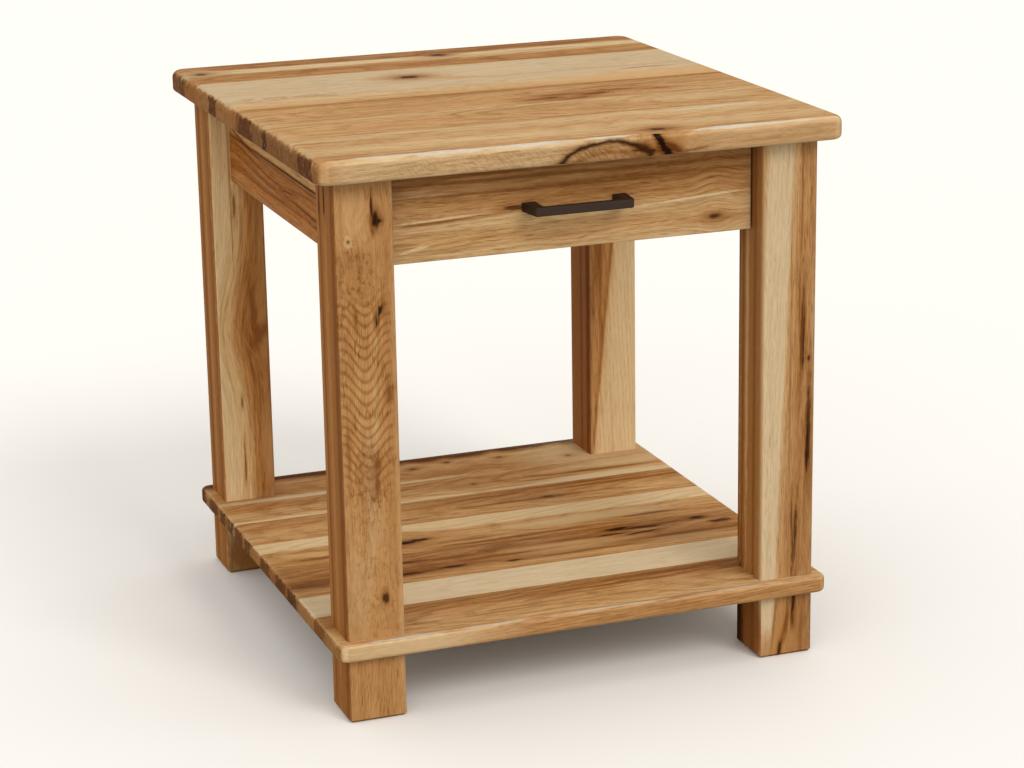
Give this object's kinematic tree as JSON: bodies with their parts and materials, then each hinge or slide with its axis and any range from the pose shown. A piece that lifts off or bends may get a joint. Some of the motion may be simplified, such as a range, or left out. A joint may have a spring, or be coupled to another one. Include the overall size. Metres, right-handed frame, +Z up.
{
  "type": "side table",
  "caption": "Square side table in knotty solid wood, with rounded glued-up top, stout square legs, aprons, a low shelf and a drawer with a dark bar pull.",
  "frame": {"origin": "on the floor, at the centre of the table's footprint", "axes": "+X to the right as seen from the drawer's side, +Y to the back, +Z up; the drawer opens towards -Y"},
  "size_m": [0.5842, 0.6096, 0.6096],
  "materials": {
    "hickory_top": "satin clear coat over knotty hickory",
    "hickory_shelf": "satin clear coat over knotty hickory",
    "hickory_legs": "satin clear coat over knotty hickory",
    "hickory_aprons": "satin clear coat over hickory heartwood",
    "hickory_drawer_front": "satin clear coat over hickory",
    "inner_frame_wood": "sanded, unfinished",
    "drawer_box_maple": "sanded with one clear coat",
    "drawer_bottom_panel": "clear-coated plywood",
    "dowel_beech": "bare beech",
    "pull_bronze": "dark oil-rubbed bronze",
    "slide_zinc": "bright zinc plate",
    "ball_steel": "polished bearing steel",
    "fastener_steel": "zinc-plated steel"
  },
  "bodies": {
    "carcass": {"back_apron": "hickory_aprons", "cleat_screws": "fastener_steel", "corner_dowels": "dowel_beech", "foot_back_left": "hickory_legs", "foot_back_right": "hickory_legs", "foot_front_left": "hickory_legs", "foot_front_right": "hickory_legs", "front_rail": "inner_frame_wood", "leg_back_left": "hickory_legs", "leg_back_right": "hickory_legs", "leg_bolt_washers": "fastener_steel", "leg_bolts": "fastener_steel", "leg_front_left": "hickory_legs", "leg_front_right": "hickory_legs", "rail_screws": "fastener_steel", "shelf_board_1": "hickory_shelf", "shelf_board_2": "hickory_shelf", "shelf_board_3": "hickory_shelf", "shelf_board_4": "hickory_shelf", "shelf_board_5": "hickory_shelf", "shelf_board_6": "hickory_shelf", "shelf_board_7": "hickory_shelf", "side_apron_left": "hickory_aprons", "side_apron_right": "hickory_aprons", "slide_case_screws": "fastener_steel", "slide_cleat_left": "inner_frame_wood", "slide_cleat_right": "inner_frame_wood", "slide_outer_left": "slide_zinc", "slide_outer_right": "slide_zinc", "top_board_1": "hickory_top", "top_board_2": "hickory_top", "top_board_3": "hickory_top", "top_board_4": "hickory_top", "top_board_5": "hickory_top", "top_board_6": "hickory_top", "top_board_7": "hickory_top", "top_plate_screws": "fastener_steel", "top_plates": "fastener_steel"},
    "drawer": {"drawer_back": "drawer_box_maple", "drawer_bottom": "drawer_bottom_panel", "drawer_box_front": "drawer_box_maple", "drawer_front": "hickory_drawer_front", "drawer_front_screws": "fastener_steel", "drawer_pull": "pull_bronze", "drawer_side_left": "drawer_box_maple", "drawer_side_right": "drawer_box_maple", "pull_screws": "fastener_steel", "slide_drawer_screws": "fastener_steel", "slide_inner_left": "slide_zinc", "slide_inner_right": "slide_zinc"},
    "inner_cage_left": {"inner_balls_left": "ball_steel", "inner_cage_left": "slide_zinc"},
    "inner_cage_right": {"inner_balls_right": "ball_steel", "inner_cage_right": "slide_zinc"},
    "middle_slide_left": {"slide_middle_left": "slide_zinc"},
    "middle_slide_right": {"slide_middle_right": "slide_zinc"},
    "outer_cage_left": {"outer_balls_left": "ball_steel", "outer_cage_left": "slide_zinc"},
    "outer_cage_right": {"outer_balls_right": "ball_steel", "outer_cage_right": "slide_zinc"}
  },
  "joints": [
    {"name": "drawer_slide", "type": "slide", "parent": "carcass", "child": "drawer", "axis": [0, -1, 0], "range_m": [0, 0.4064]},
    {"name": "middle_slide_left_travel", "type": "slide", "parent": "carcass", "child": "middle_slide_left", "axis": [0, -1, 0], "range_m": [0, 0.2032]},
    {"name": "outer_cage_left_travel", "type": "slide", "parent": "carcass", "child": "outer_cage_left", "axis": [0, -1, 0], "range_m": [0, 0.1016]},
    {"name": "inner_cage_left_travel", "type": "slide", "parent": "carcass", "child": "inner_cage_left", "axis": [0, -1, 0], "range_m": [0, 0.3048]},
    {"name": "middle_slide_right_travel", "type": "slide", "parent": "carcass", "child": "middle_slide_right", "axis": [0, -1, 0], "range_m": [0, 0.2032]},
    {"name": "outer_cage_right_travel", "type": "slide", "parent": "carcass", "child": "outer_cage_right", "axis": [0, -1, 0], "range_m": [0, 0.1016]},
    {"name": "inner_cage_right_travel", "type": "slide", "parent": "carcass", "child": "inner_cage_right", "axis": [0, -1, 0], "range_m": [0, 0.3048]}
  ],
  "couplings": [
    {"joint": "middle_slide_left_travel", "follows": "drawer_slide", "ratio": 0.5},
    {"joint": "outer_cage_left_travel", "follows": "drawer_slide", "ratio": 0.25},
    {"joint": "inner_cage_left_travel", "follows": "drawer_slide", "ratio": 0.75},
    {"joint": "middle_slide_right_travel", "follows": "drawer_slide", "ratio": 0.5},
    {"joint": "outer_cage_right_travel", "follows": "drawer_slide", "ratio": 0.25},
    {"joint": "inner_cage_right_travel", "follows": "drawer_slide", "ratio": 0.75}
  ]
}
